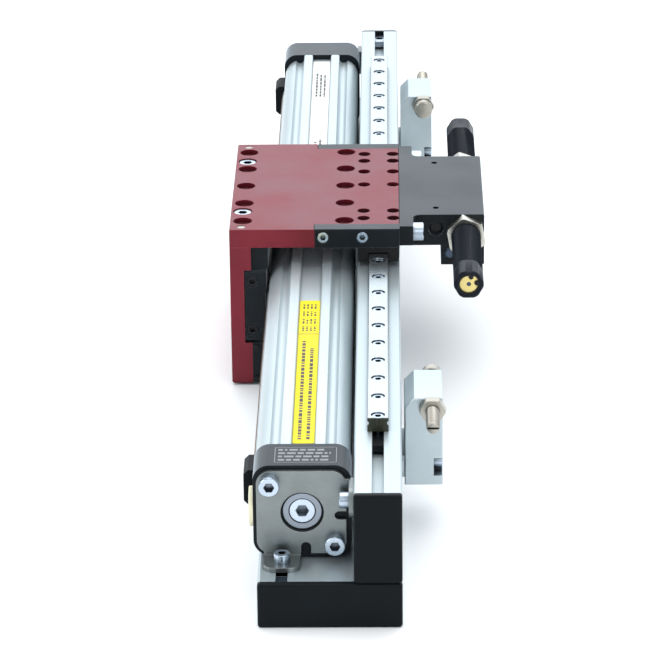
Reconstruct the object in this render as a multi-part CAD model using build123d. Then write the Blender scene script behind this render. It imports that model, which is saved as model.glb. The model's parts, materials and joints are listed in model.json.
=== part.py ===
from build123d import *
import math
import os

# Rodless pneumatic linear drive with a guide rail carriage.
# Millimetres, +Z up, +Y along the travel, +X from the cylinder towards the stops.
# Origin: centre of the underside of the base profile.

# ---- driving dimensions: profiles -------------------------------------------------------------
MODULE = 20.0                       # grid of both T-slot profiles
PROFILE_LENGTH = 616.0
HALF_LENGTH = PROFILE_LENGTH / 2
END_CAP = 3.0                       # thickness of the profile end caps
BASE_HALF = 1.5 * MODULE            # half width of the base profile
BASE_TOP = MODULE
UPRIGHT_X = (BASE_HALF - MODULE, BASE_HALF)
UPRIGHT_MID = BASE_HALF - MODULE / 2
UPRIGHT_TOP = 3 * MODULE
LOWER_SLOT_Z = 1.5 * MODULE         # side slots of the upright profile
UPPER_SLOT_Z = 2.5 * MODULE
SLOT_HALF = 2.5                     # half width of the slot mouth
SLOT_LIP = 2.0                      # thickness of the lips
SLOT_WIDE = 5.5                     # half width behind the lips
SLOT_STEP = 3.5                     # depth where the slot starts to narrow
SLOT_DEPTH = 6.3
CORE_RADIUS = 2.15                  # screw cores in the profiles
PROFILE_SCREW_Y = (-250.0, 0.0, 250.0)
PROFILE_SCREW_SEAT = 7.0
SPARE_NUT_Y = HALF_LENGTH - 6.5       # loose nut at the far end of the top slot

# ---- driving dimensions: guide rail and blocks ------------------------------------------------
RAIL_HALF = 4.5
RAIL_HEIGHT = 6.5
RAIL_TOP = UPRIGHT_TOP + RAIL_HEIGHT
RAIL_PITCH = 20.0
RAIL_HOLES = 25
RAIL_FIRST_HOLE = -243.2
RAIL_ENDS = (RAIL_FIRST_HOLE - 3.0, RAIL_FIRST_HOLE + (RAIL_HOLES - 1) * RAIL_PITCH + 7.4)
RACE_OFFSET = 4.65                  # ball centres beside the rail centre
RACE_Z = 63.9
RACE_RADIUS = 0.85
BALL_RADIUS = 0.79
RAIL_GAP = 0.3                      # free space between rail and blocks
BLOCK_CENTRES = (-35.0, 45.0)
BLOCK_HALF = 10.0
BLOCK_CAP = 4.45

# ---- driving dimensions: cylinder -------------------------------------------------------------
BORE_X = -11.5
BORE_Z = 41.5
BORE_RADIUS = 12.5
BARREL_Y = (-263.0, 260.0)
BARREL_X = (-31.5, 8.4)
BARREL_Z = (23.6, 59.4)
CYLINDER_MIDDLE = (BARREL_Y[0] + BARREL_Y[1]) / 2
CAP_NEAR_Y = -285.0
CAP_FAR_Y = 2 * CYLINDER_MIDDLE - CAP_NEAR_Y
CAP_X = (-32.0, 9.0)
CAP_Z = (21.0, 62.0)
TIE_X = (-25.0, 2.0)
TIE_Z = (28.0, 55.0)
TIE_RADIUS = 2.5
PORT_RADIUS = 4.4
PORT_COLLAR = (5.5, 0.8)            # radius and thickness of the plug's collar
BOSS = (8.0, 0.5)                   # radius and height of the port boss
BAND_SCREW_Z = (38.5, 44.5)         # set screws in the band clamps
PLATE = 2.0                         # sheet thickness of the mounting plates
FOOT_REACH = 12.5                   # length of the bent tabs
TAB_WIDTH = 15.2
SIDE_TAB_WIDTH = 13.0
FOOT_X = -MODULE                    # slot that holds the feet
FOOT_SCREW_OFFSET = 6.0             # foot screw from the face of the plate

# ---- driving dimensions: stops ----------------------------------------------------------------
STOP_NEAR = -201.0                  # middle of the near stop block
STOP_FAR = 202.0
STOP_HALF = 15.7                    # half length of a stop block
STOP_SCREW_SPACING = 16.0
STOP_AXIS = (43.4, 58.2)            # x and z of the stop screws
ANVIL_LENGTH = 4.9
ANVIL_NEAR = -184.2                 # outer face of the near anvil
ANVIL_FAR = STOP_FAR - STOP_HALF - 5.0 - ANVIL_LENGTH
STUD_ENDS = (-239.2, 235.3)         # slotted ends of the stop screws

# ---- driving dimensions: carriage -------------------------------------------------------------
MIDDLE = 5.0                        # y of the carriage centre
DECK = (-50.0, 30.0)                # x of the carriage plate
DECK_Z = (70.0, 79.0)
DECK_Y = (-55.0, 65.0)
END_PLATE = 7.0
END_SCREWS = ((-6.0, 74.8), (12.5, 74.8))           # x and z in the end plates of the deck
DRIVE_END_SCREWS = ((-39.6, 52.9), (-39.8, 28.4))   # x and z in the end plates of the drive
LEG_X = (-50.0, -40.0)
LEG_RECESS_X = -43.4
LEG_BOTTOM = 1.0
GRID = 24.0                         # spacing of the tapped holes in the deck
GRID_COLUMNS = (-44.0, 4.0)
DECK_SCREW_COLUMNS = (13.0, 27.0)
DECK_SCREW_Y = (-40.0, -30.0, 40.0, 50.0)
SPARE_BORE_Y = (6.2, 24.6)
CORNER_SCREW_X = -44.4
CORNER_SCREW_Y = (-30.0, 40.0)
CORNER_DOWEL_Y = (-51.0, 61.0)
BRACKET_SCREW_Y = (-45.4, 55.4)
BRACKET_SCREW_Z = 74.2
BAR_SCREW_Y = (-38.0, MIDDLE, 48.0)
MOUNT_SCREW_Y = (-25.0, 35.0)
MOUNT_SCREW_Z = (32.0, 50.0)
SIDE_SEAT = -45.8
YOKE_SCREW_X = -37.0
YOKE_SCREW_Y = (-8.0, 18.0)
FLAG_PIN_X = -38.4                  # small pins in the ends of the switch flag
FLAG_PIN_Z = (3.2, 19.5)

# ---- driving dimensions: shock absorbers and lug ----------------------------------------------
SHOCK_AXIS = (61.4, 69.5)
SHOCK_RADIUS = 7.0
SHOCK_LENGTH = 92.6
SHOCK_TIP = 15.0                    # distance of the body tips from the carriage centre
WINDOW_HALF = 15.5
BRACKET_HALF = 41.0
UPPER_ROD = (47.3, 71.6)
LOWER_ROD = (53.6, 59.5)
LUG_HALF = 5.0

# ---- fasteners: head diameter, head height, socket across flats --------------------------------
HEADS = {3: (5.5, 3.0, 2.5), 4: (7.0, 4.0, 3.0), 5: (8.5, 5.0, 4.0), 6: (10.0, 6.0, 5.0)}

TURN = {
    "+z": Rot(0, 0, 0), "-z": Rot(180, 0, 0),
    "+x": Rot(0, 90, 0), "-x": Rot(0, -90, 0),
    "+y": Rot(-90, 0, 0), "-y": Rot(90, 0, 0),
}


# ---- helpers ----------------------------------------------------------------------------------
def block(x0, x1, y0, y1, z0, z1):
    """Box between two opposite corners."""
    centre = ((x0 + x1) / 2, (y0 + y1) / 2, (z0 + z1) / 2)
    return Pos(*centre) * Box(x1 - x0, y1 - y0, z1 - z0)


def pin(foot, facing, length, radius):
    """Cylinder that starts at foot and runs towards facing."""
    return Pos(*foot) * TURN[facing] * Cylinder(radius, length, align=(Align.CENTER, Align.CENTER, Align.MIN))


def bar_y(x, z, y0, y1, radius):
    """Cylinder along Y from y0 to y1."""
    return pin((x, y0, z), "+y", y1 - y0, radius)


def prism_y(outline, y0, y1):
    """Solid with a closed x-z outline between y0 and y1."""
    face = make_face(Polyline(*[(x, 0, z) for x, z in outline], close=True))
    return Pos(0, y0, 0) * extrude(face, amount=y1 - y0, dir=(0, 1, 0))


def rounded_y(x0, x1, z0, z1, y0, y1, radius):
    """Bar along Y whose section is a rectangle with round corners."""
    solid = block(x0, x1, y0, y1, z0, z1)
    return fillet(solid.edges().filter_by(Axis.Y), radius)


def cap_screw(seat, facing, size, length):
    """Socket head cap screw: the head stands on the seat and faces outwards."""
    head, height, socket = HEADS[size]
    align = (Align.CENTER, Align.CENTER, Align.MIN)
    body = Cylinder(head / 2, height, align=align)
    body = chamfer(body.edges().group_by(Axis.Z)[-1], 0.3)
    hexagon = RegularPolygon(socket / math.sqrt(3), 6)
    body -= Pos(0, 0, height * 0.45) * extrude(hexagon, amount=height)
    body += Pos(0, 0, -length) * Cylinder(size / 2, length, align=align)
    return Pos(*seat) * TURN[facing] * body


def slot_outline(half_mouth, lip, wide, step, depth, floor_half):
    """Half outline of a T-slot or of a nut in it, as (offset, depth) points."""
    right = [(half_mouth, 0), (half_mouth, lip), (wide, lip), (wide, step), (floor_half, depth)]
    left = [(-offset, deep) for offset, deep in reversed(right)]
    return right + left


def placed_outline(outline, mouth, facing):
    """Put (offset, depth) points at a slot mouth that faces along X or Z."""
    x, z = mouth
    if facing == "+z":
        return [(x + offset, z - deep) for offset, deep in outline]
    if facing == "-z":
        return [(x + offset, z + deep) for offset, deep in outline]
    if facing == "+x":
        return [(x - deep, z + offset) for offset, deep in outline]
    return [(x + deep, z + offset) for offset, deep in outline]


def t_slot(mouth, facing):
    """Cutter for one T-slot along the whole profile."""
    floor_half = SLOT_WIDE - (SLOT_DEPTH - SLOT_STEP)
    outline = slot_outline(SLOT_HALF, SLOT_LIP, SLOT_WIDE, SLOT_STEP, SLOT_DEPTH, floor_half)
    return prism_y(placed_outline(outline, mouth, facing), -HALF_LENGTH, HALF_LENGTH)


def nut_bar(mouth, facing, y0, y1):
    """Nut of T-slot section between y0 and y1, lying against the lips."""
    right = [(5.2, SLOT_LIP), (5.2, 3.4), (3.4, 5.2)]
    outline = right + [(-offset, deep) for offset, deep in reversed(right)]
    return prism_y(placed_outline(outline, mouth, facing), y0, y1)


def slot_nut(mouth, facing, y, hole=2.0):
    """Single 12 mm slot nut with its tapped hole."""
    x, z = mouth
    start = {"+z": (x, y, z - 7), "-z": (x, y, z), "+x": (x - 7, y, z), "-x": (x, y, z)}[facing]
    along = {"+z": "+z", "-z": "+z", "+x": "+x", "-x": "+x"}[facing]
    return nut_bar(mouth, facing, y - 6, y + 6) - pin(start, along, 7, hole)


def mirrored(solid, y):
    """The same solid mirrored at the plane y."""
    return mirror(solid, about=Plane((0, y, 0), z_dir=(0, 1, 0)))


def both_ends(solid, y):
    """A solid and its mirror image."""
    return [solid, mirrored(solid, y)]


def write(name, *solids):
    """One STEP file per node; several solids stay separate."""
    pieces = []
    for solid in solids:
        pieces += list(solid) if isinstance(solid, (list, tuple)) else [solid]
    separate = [body for piece in pieces for body in piece.solids()]
    shape = separate[0] if len(separate) == 1 else Compound(children=separate)
    shape.label = name
    export_step(shape, f"parts/{name}.step")


# ---- profiles ---------------------------------------------------------------------------------
def base_profile():
    solid = rounded_y(-BASE_HALF, BASE_HALF, 0, BASE_TOP, -HALF_LENGTH, HALF_LENGTH, 1.2)
    for x in (-MODULE, MODULE):
        solid -= t_slot((x, BASE_TOP), "+z")
        solid -= t_slot((x, 0), "-z")
    solid -= t_slot((BASE_HALF, BASE_TOP / 2), "+x")
    solid -= t_slot((-BASE_HALF, BASE_TOP / 2), "-x")
    for x in (-MODULE, 0, MODULE):
        solid -= bar_y(x, BASE_TOP / 2, -HALF_LENGTH, HALF_LENGTH, CORE_RADIUS)
    for x0, x1 in ((-12.6, -4.0), (4.0, 12.6)):
        solid -= rounded_y(x0, x1, 2, 18, -HALF_LENGTH, HALF_LENGTH, 1.0)
    for y in PROFILE_SCREW_Y:
        solid -= pin((UPRIGHT_MID, y, 0), "+z", BASE_TOP, 2.25)
        solid -= pin((UPRIGHT_MID, y, 0), "+z", PROFILE_SCREW_SEAT, 3.7)
    return solid


def upright_profile():
    x0, x1 = UPRIGHT_X
    solid = rounded_y(x0, x1, BASE_TOP, UPRIGHT_TOP, -HALF_LENGTH, HALF_LENGTH, 1.2)
    solid -= t_slot((UPRIGHT_MID, UPRIGHT_TOP), "+z")
    solid -= t_slot((UPRIGHT_MID, BASE_TOP), "-z")
    for z in (LOWER_SLOT_Z, UPPER_SLOT_Z):
        solid -= t_slot((x0, z), "-x")
        solid -= t_slot((x1, z), "+x")
        solid -= bar_y(UPRIGHT_MID, z, -HALF_LENGTH, HALF_LENGTH, CORE_RADIUS)
    solid -= bar_y(UPRIGHT_MID, 2 * MODULE, -HALF_LENGTH, HALF_LENGTH, 3.5)
    return solid


def end_cap(x0, x1, z0, z1, cores):
    """Plastic cap on the near end of a profile, with pegs in the screw cores."""
    solid = block(x0, x1, -HALF_LENGTH - END_CAP, -HALF_LENGTH, z0, z1)
    solid = fillet(solid.edges().filter_by(Axis.Y), 1.5)
    solid = fillet(solid.edges().group_by(Axis.Y)[0], 1.2)
    for x, z in cores:
        solid += bar_y(x, z, -HALF_LENGTH, -HALF_LENGTH + 8, 2.1)
    return solid


def slot_nuts():
    nuts = []
    for y in PROFILE_SCREW_Y:
        nuts.append(slot_nut((UPRIGHT_MID, BASE_TOP), "-z", y))
    for y in stop_screw_places():
        nuts.append(slot_nut((UPRIGHT_X[1], LOWER_SLOT_Z), "+x", y))
    for y in foot_screw_places():
        nuts.append(slot_nut((FOOT_X, BASE_TOP), "+z", y))
        nuts.append(slot_nut((UPRIGHT_X[0], UPPER_SLOT_Z), "-x", y))
    nuts.append(slot_nut((UPRIGHT_MID, UPRIGHT_TOP), "+z", SPARE_NUT_Y))
    return nuts


def stop_screw_places():
    half = STOP_SCREW_SPACING / 2
    return [centre + step for centre in (STOP_NEAR, STOP_FAR) for step in (-half, half)]


def foot_screw_places():
    return [CAP_NEAR_Y - PLATE - FOOT_SCREW_OFFSET, CAP_FAR_Y + PLATE + FOOT_SCREW_OFFSET]


def profile_screws():
    seats = [(UPRIGHT_MID, y, PROFILE_SCREW_SEAT) for y in PROFILE_SCREW_Y]
    return [cap_screw(seat, "-z", 4, 18) for seat in seats]


# ---- guide rail -------------------------------------------------------------------------------
def rail_hole_places():
    return [RAIL_FIRST_HOLE + RAIL_PITCH * step for step in range(RAIL_HOLES)]


def guide_rail():
    x0 = UPRIGHT_MID - RAIL_HALF
    x1 = UPRIGHT_MID + RAIL_HALF
    solid = block(x0, x1, *RAIL_ENDS, UPRIGHT_TOP, RAIL_TOP)
    solid = chamfer(solid.edges().group_by(Axis.Z)[-1], 0.3)
    for side in (-1, 1):
        solid -= bar_y(UPRIGHT_MID + side * RACE_OFFSET, RACE_Z, *RAIL_ENDS, RACE_RADIUS)
    for y in rail_hole_places():
        solid -= pin((UPRIGHT_MID, y, UPRIGHT_TOP), "+z", RAIL_HEIGHT, 1.75)
        solid -= pin((UPRIGHT_MID, y, RAIL_TOP - 3.5), "+z", 4, 3.0)
    return solid


def rail_nut_bar():
    solid = nut_bar((UPRIGHT_MID, UPRIGHT_TOP), "+z", -256.0, 244.0)
    for y in rail_hole_places():
        solid -= pin((UPRIGHT_MID, y, UPRIGHT_TOP - 6), "+z", 5, 1.5)
    return solid


def rail_screws():
    seats = [(UPRIGHT_MID, y, RAIL_TOP - 3.5) for y in rail_hole_places()]
    return [cap_screw(seat, "+z", 3, 8) for seat in seats]


# ---- cylinder ---------------------------------------------------------------------------------
def cylinder_barrel():
    y0, y1 = BARREL_Y
    solid = rounded_y(*BARREL_X, *BARREL_Z, y0, y1, 9.0)
    top = BARREL_Z[1]
    ribs = ((-21.1, -16.2), (-6.5, -1.7))
    for x0, x1 in ribs:
        rib = block(x0, x1, y0, y1, top - 4, CAP_Z[1])
        solid += fillet(rib.edges().filter_by(Axis.Y).group_by(Axis.Z)[-1], 0.8)
    outer_edges = (ribs[0][0] - 2.3, ribs[1][1] + 2.3)
    for x in outer_edges:
        solid -= bar_y(x, top + 0.4, y0, y1, 2.3)
    solid += block(BARREL_X[0] - 0.8, BARREL_X[0] + 1, y0, y1, 36, 47)
    solid -= bar_y(BORE_X, BORE_Z, y0, y1, BORE_RADIUS)
    solid -= block(-34, BORE_X, y0, y1, 38.7, 44.3)
    solid -= block(-25.3, BORE_X - BORE_RADIUS + 1, y0, y1, 37.5, 45.5)
    for x in TIE_X:
        for z in TIE_Z:
            solid -= bar_y(x, z, y0, y1, TIE_RADIUS)
    return solid


def cylinder_cap(side_port):
    """Near cap with spigot, port, air way and screw holes; the far one is its mirror image."""
    seam = BARREL_Y[0]
    face = CAP_NEAR_Y
    solid = rounded_y(*CAP_X, *CAP_Z, face, seam, 7.0)
    solid += bar_y(BORE_X, BORE_Z, seam, seam + 8, BORE_RADIUS - 0.1)
    mouth = face - BOSS[1]
    solid += bar_y(BORE_X, BORE_Z, mouth, face, BOSS[0])
    groove = bar_y(BORE_X, BORE_Z, seam + 3, seam + 5, BORE_RADIUS)
    solid -= groove - bar_y(BORE_X, BORE_Z, seam + 3, seam + 5, BORE_RADIUS - 1.5)
    solid -= bar_y(BORE_X, BORE_Z, mouth, face + 9, PORT_RADIUS)
    solid -= bar_y(BORE_X, BORE_Z, mouth, mouth + PORT_COLLAR[1] + 0.2, PORT_COLLAR[0] + 0.2)
    solid -= bar_y(BORE_X, BORE_Z, face, seam + 8, 2.5)
    if side_port:
        solid -= pin((CAP_X[0], face + 8, BORE_Z - 1.5), "+x", 10, PORT_RADIUS)
        solid -= pin((CAP_X[0], face + 8, BORE_Z - 1.5), "+x", 20, 2.0)
    for x in TIE_X:
        for z in TIE_Z:
            solid -= bar_y(x, z, face, seam, TIE_RADIUS + 0.2)
    for x, z in sunk_tie_places():
        solid -= bar_y(x, z, face, face + 5.5, 4.5)
    return solid


def sunk_tie_places():
    return [(TIE_X[1], TIE_Z[1]), (TIE_X[0], TIE_Z[0])]


def plate_screw_places():
    return [(TIE_X[0], TIE_Z[1]), (TIE_X[1], TIE_Z[0])]


def cap_tie_screws():
    screws = [cap_screw((x, CAP_NEAR_Y + 5.5, z), "-y", 5, 30) for x, z in sunk_tie_places()]
    screws += [cap_screw((x, CAP_FAR_Y - 5.5, z), "+y", 5, 30) for x, z in sunk_tie_places()]
    return screws


def plate_screws():
    screws = [cap_screw((x, CAP_NEAR_Y - PLATE, z), "-y", 5, 35) for x, z in plate_screw_places()]
    screws += [cap_screw((x, CAP_FAR_Y + PLATE, z), "+y", 5, 35) for x, z in plate_screw_places()]
    return screws


def mounting_plate():
    """Bent sheet in front of the near cap, with a tab down and a tab to the side."""
    y0 = CAP_NEAR_Y - PLATE
    y1 = CAP_NEAR_Y
    tip = y0 - FOOT_REACH
    side_x = UPRIGHT_X[0]
    face = Pos(BORE_X - 0.35, BORE_Z) * RectangleRounded(37.3, 37.4, 6.0)
    face += Pos(FOOT_X, 26) * Rectangle(TAB_WIDTH, 2 * (26 - BASE_TOP))
    face += Pos(side_x - 4, UPPER_SLOT_Z) * Rectangle(8, SIDE_TAB_WIDTH)
    face -= Pos(BORE_X, BORE_Z) * Circle(9.0)
    for x, z in plate_screw_places():
        face -= Pos(x, z) * Circle(TIE_RADIUS + 0.2)
    face -= Pos(-10.1, 21.9) * SlotOverall(12, 4.2, rotation=90)
    face -= Pos(8, 40.1) * SlotOverall(12, 3.7)
    solid = Pos(0, y1, 0) * Rot(90, 0, 0) * extrude(face, amount=PLATE)
    foot = Pos(FOOT_X, (tip + y1) / 2) * tab_outline(TAB_WIDTH, y1 - tip)
    foot -= Pos(FOOT_X, y0 - FOOT_SCREW_OFFSET) * Circle(2.2)
    solid += Pos(0, 0, BASE_TOP) * extrude(foot, amount=PLATE)
    side = Pos(0, (tip + y1) / 2) * tab_outline(SIDE_TAB_WIDTH, y1 - tip)
    side -= Pos(0, y0 - FOOT_SCREW_OFFSET) * Circle(2.2)
    solid += Pos(side_x, 0, UPPER_SLOT_Z) * Rot(0, -90, 0) * extrude(side, amount=PLATE)
    return solid


def tab_outline(width, length):
    """Tab seen from its flat side: round corners at the free end, which points to -Y."""
    face = Rectangle(width, length)
    return fillet(face.vertices().group_by(Axis.Y)[0], 4.5)


def foot_screws():
    screws = []
    for y in foot_screw_places():
        screws.append(cap_screw((FOOT_X, y, BASE_TOP + PLATE), "+z", 4, 8))
        screws.append(cap_screw((UPRIGHT_X[0] - PLATE, y, UPPER_SLOT_Z), "-x", 4, 8))
    return screws


def cover_bands():
    """Outer and inner band, each in two strips either side of the fin."""
    y0 = BARREL_Y[0] + 2
    y1 = BARREL_Y[1] - 2
    strips = []
    for z0, z1 in ((37.0, 40.1), (42.9, 46.0)):
        strips.append(block(-32.9, -32.3, y0, y1, z0, z1))
    for z0, z1 in ((37.6, 40.1), (42.9, 45.4)):
        strips.append(block(-25.1, -24.5, y0, y1, z0, z1))
    return strips


def band_clamp():
    """Black clamp on the near barrel end, over the side rail and the outer band."""
    y0 = BARREL_Y[0] + 1
    y1 = y0 + 16
    solid = block(-36.7, BARREL_X[0], y0, y1, 33.5, 49.5)
    outer = solid.edges().filter_by(Axis.Y).group_by(Axis.X)[0]
    solid = chamfer(outer, 2.0)
    solid -= block(BARREL_X[0] - 1.4, BARREL_X[0], y0, y1, 36, 47)
    for z in BAND_SCREW_Z:
        solid -= pin((-36.7, (y0 + y1) / 2, z), "+x", 5, 1.5)
    return solid


def set_screw(outer, facing, length):
    """M3 set screw with its socket at the outer end."""
    align = (Align.CENTER, Align.CENTER, Align.MAX)
    screw = Cylinder(1.5, length, align=align)
    screw -= Pos(0, 0, -1.6) * extrude(RegularPolygon(1.5 / math.sqrt(3), 6), amount=2)
    return Pos(*outer) * TURN[facing] * screw


def band_clamp_screws():
    """Set screws that press the outer band strips, two in each clamp."""
    near = [set_screw((-36.4, BARREL_Y[0] + 9, z), "-x", 3.5) for z in BAND_SCREW_Z]
    return near + [mirrored(screw, CYLINDER_MIDDLE) for screw in near]


def port_plug():
    y0 = CAP_NEAR_Y - BOSS[1] + 0.2
    collar, thickness = PORT_COLLAR
    solid = bar_y(BORE_X, BORE_Z, y0, y0 + thickness, collar)
    solid = chamfer(solid.edges().group_by(Axis.Y)[0], 0.3)
    solid += bar_y(BORE_X, BORE_Z, y0 + thickness, y0 + 8, PORT_RADIUS)
    solid -= Pos(BORE_X, y0, BORE_Z) * TURN["+y"] * extrude(RegularPolygon(5 / math.sqrt(3), 6), amount=4)
    return solid


def dust_plug():
    y = CAP_NEAR_Y + 8
    z = BORE_Z - 1.5
    solid = pin((CAP_X[0], y, z), "-x", 1.9, 8.5)
    solid = fillet(solid.edges().group_by(Axis.X)[0], 0.6)
    solid += pin((CAP_X[0], y, z), "+x", 7, PORT_RADIUS)
    return solid - pin((CAP_X[0] - 1.9, y, z), "+x", 6, 2.6)


def cap_orings():
    rings = []
    for y in (BARREL_Y[0] + 3, BARREL_Y[1] - 5):
        ring = bar_y(BORE_X, BORE_Z, y, y + 2, BORE_RADIUS)
        rings.append(ring - bar_y(BORE_X, BORE_Z, y, y + 2, BORE_RADIUS - 1.5))
    return rings


def labels():
    z = BARREL_Z[1]
    return [block(-16.0, -6.7, -257, -96, z, z + 0.15), block(-16.0, -6.7, 84, 256, z, z + 0.15)]


# ---- stops ------------------------------------------------------------------------------------
def stop_block():
    """Near stop block on the side slot of the upright."""
    y0 = STOP_NEAR - STOP_HALF
    y1 = STOP_NEAR + STOP_HALF
    x0 = UPRIGHT_X[1] + 1.3
    x1 = 47.8
    top = 62.5
    solid = block(x0, x1, y0, y1, 21.5, top)
    inner_top = solid.edges().filter_by(Axis.Y).group_by(Axis.X)[0].sort_by(Axis.Z)[-1]
    solid = chamfer(inner_top, 4.3)
    solid = chamfer(solid.faces().sort_by(Axis.Y)[0].edges(), 0.5)
    solid += block(UPRIGHT_X[1], x0 + 1, y0 + 1, y1 - 1, LOWER_SLOT_Z - 5, LOWER_SLOT_Z + 5)
    solid -= block(43.9, x1, y0, y1, LOWER_SLOT_Z - 4.1, LOWER_SLOT_Z + 4.1)
    solid -= bar_y(*STOP_AXIS, y0, y1, 3.0)
    for y in stop_screw_places()[:2]:
        solid -= pin((UPRIGHT_X[1] - 1, y, LOWER_SLOT_Z), "+x", 16, 2.2)
    return solid


def stop_screw(y0, stud_end):
    """Stop screw with a round anvil towards the carriage and a slotted end."""
    y1 = y0 + ANVIL_LENGTH
    solid = bar_y(*STOP_AXIS, y0, y1, 4.7)
    solid = chamfer(solid.edges(), 0.4)
    start = min(y0 + 1, stud_end)
    finish = max(y1 - 1, stud_end)
    solid += bar_y(*STOP_AXIS, start, finish, 3.0)
    x, z = STOP_AXIS
    inner = stud_end + (1.5 if stud_end < y0 else -1.5)
    return solid - block(x - 4, x + 4, min(stud_end, inner), max(stud_end, inner), z - 0.5, z + 0.5)


def hex_nut(axis, y0, y1, across, bore, turn):
    x, z = axis
    shape = RegularPolygon(across / math.sqrt(3), 6, rotation=turn)
    solid = Pos(x, y0, z) * TURN["+y"] * extrude(shape, amount=y1 - y0)
    dome = bar_y(x, z, y0, y1, across / math.sqrt(3) * 1.002)
    dome = chamfer(dome.edges(), 0.55)
    return (solid & dome) - bar_y(x, z, y0, y1, bore)


def stop_nuts():
    near = STOP_NEAR - STOP_HALF
    far = STOP_FAR - STOP_HALF
    return [hex_nut(STOP_AXIS, near - 5, near, 10, 3.0, 0), hex_nut(STOP_AXIS, far - 5, far, 10, 3.0, 0)]


def stop_clamp_screws():
    return [cap_screw((43.9, y, LOWER_SLOT_Z), "+x", 4, 18) for y in stop_screw_places()]


# ---- carriage ---------------------------------------------------------------------------------
def grid_places():
    rows = [MIDDLE + GRID * step for step in (-2, -1, 0, 1, 2)]
    return [(x, y) for x in GRID_COLUMNS for y in rows]


def deck_screw_places():
    return [(x, y) for x in DECK_SCREW_COLUMNS for y in DECK_SCREW_Y]


def carriage_plate():
    bottom, top = DECK_Z
    solid = block(*DECK, *DECK_Y, bottom, top)
    for y0, y1 in end_plate_spans():
        solid -= block(-10, DECK[1], y0, y1, bottom, top)
    solid = chamfer(solid.edges().filter_by(Axis.Y).group_by(Axis.Z)[-1], 0.4)
    for x, y in grid_places():
        solid -= pin((x, y, bottom), "+z", 9, 2.1)
        solid -= pin((x, y, top - 2.5), "+z", 3, 4.5)
    spare = [(x, y) for x in DECK_SCREW_COLUMNS for y in SPARE_BORE_Y]
    for x, y in deck_screw_places() + spare:
        solid -= pin((x, y, bottom), "+z", 9, 1.7)
        solid -= pin((x, y, bottom + 4), "+z", 6, 3.0)
    for y in CORNER_SCREW_Y:
        solid -= pin((CORNER_SCREW_X, y, bottom), "+z", 9, 2.7)
        solid -= pin((CORNER_SCREW_X, y, top - 5.5), "+z", 6, 4.5)
    for y in CORNER_DOWEL_Y:
        solid -= pin((CORNER_SCREW_X, y, bottom), "+z", 9, 2.0)
    for y in BRACKET_SCREW_Y:
        solid -= pin((DECK[1], y, BRACKET_SCREW_Z), "-x", 8, 2.5)
    for x, z in END_SCREWS:
        solid -= bar_y(x, z, DECK_Y[0], DECK_Y[0] + 12, 1.5)
        solid -= bar_y(x, z, DECK_Y[1] - 12, DECK_Y[1], 1.5)
    return solid


def end_plate_spans():
    return ((DECK_Y[0], DECK_Y[0] + END_PLATE), (DECK_Y[1] - END_PLATE, DECK_Y[1]))


def carriage_leg():
    x0, x1 = LEG_X
    solid = block(x0, x1, *DECK_Y, LEG_BOTTOM, DECK_Z[0])
    solid = fillet(solid.edges().filter_by(Axis.Y).group_by(Axis.Z)[0], 1.5)
    solid -= block(LEG_RECESS_X, x1, *DECK_Y, 21.7, 58.5)
    for y in CORNER_SCREW_Y:
        solid -= pin((CORNER_SCREW_X, y, DECK_Z[0]), "-z", 10.5, 2.5)
    for y in CORNER_DOWEL_Y:
        solid -= pin((CORNER_SCREW_X, y, DECK_Z[0]), "-z", 8, 2.0)
    for y, z in side_screw_places():
        solid -= pin((x0, y, z), "+x", 10, 2.2)
        solid -= pin((x0, y, z), "+x", SIDE_SEAT - x0, 3.7)
    for y, z in flag_screw_places():
        solid -= pin((x0, y, z), "+x", 10, 1.7)
        solid -= pin((x0, y, z), "+x", 4, 3.0)
    return solid


def side_screw_places():
    bar = [(y, 64.0) for y in BAR_SCREW_Y]
    return bar + [(y, z) for y in MOUNT_SCREW_Y for z in MOUNT_SCREW_Z]


def flag_screw_places():
    return [(y, 11.4) for y in MOUNT_SCREW_Y]


def leg_screws():
    return [cap_screw((CORNER_SCREW_X, y, DECK_Z[1] - 5.5), "+z", 5, 14) for y in CORNER_SCREW_Y]


def leg_dowels():
    return [pin((CORNER_SCREW_X, y, 62), "+z", 16.8, 2.0) for y in CORNER_DOWEL_Y]


def end_plate():
    """Black plate let into the near end of the deck."""
    y0, y1 = end_plate_spans()[0]
    solid = block(-10, DECK[1], y0, y1, DECK_Z[0] - 0.5, DECK_Z[1])
    solid = chamfer(solid.faces().sort_by(Axis.Y)[0].edges(), 0.3)
    for x, z in END_SCREWS:
        solid -= bar_y(x, z, y0, y1, 1.7)
        solid -= bar_y(x, z, y0, y0 + 3, 2.9)
    return solid


def end_screws():
    screws = [cap_screw((x, DECK_Y[0] + 3, z), "-y", 3, 8) for x, z in END_SCREWS + DRIVE_END_SCREWS]
    return screws + [mirrored(screw, MIDDLE) for screw in screws]


def rail_passage(y0, y1):
    """Free space around the rail for wipers, blocks and their caps."""
    half = RAIL_HALF + RAIL_GAP
    return block(UPRIGHT_MID - half, UPRIGHT_MID + half, y0, y1, 55, RAIL_TOP + RAIL_GAP)


def rail_wiper():
    y0 = DECK_Y[0] + 1
    solid = block(10.5, 29.5, y0, y0 + 3, 62.5, 69.5)
    return solid - rail_passage(y0, y0 + 3)


def guide_block(centre):
    y0 = centre - BLOCK_HALF
    y1 = centre + BLOCK_HALF
    solid = block(*UPRIGHT_X, y0, y1, 62.2, DECK_Z[0])
    solid = chamfer(solid.edges().filter_by(Axis.Y).group_by(Axis.Z)[-1], 0.4)
    solid -= rail_passage(y0, y1)
    for side in (-1, 1):
        solid -= bar_y(UPRIGHT_MID + side * RACE_OFFSET, RACE_Z, y0, y1, RACE_RADIUS)
    for x in DECK_SCREW_COLUMNS:
        for step in (-5, 5):
            solid -= pin((x, centre + step, DECK_Z[0]), "-z", 2.8, 1.5)
    return solid


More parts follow.
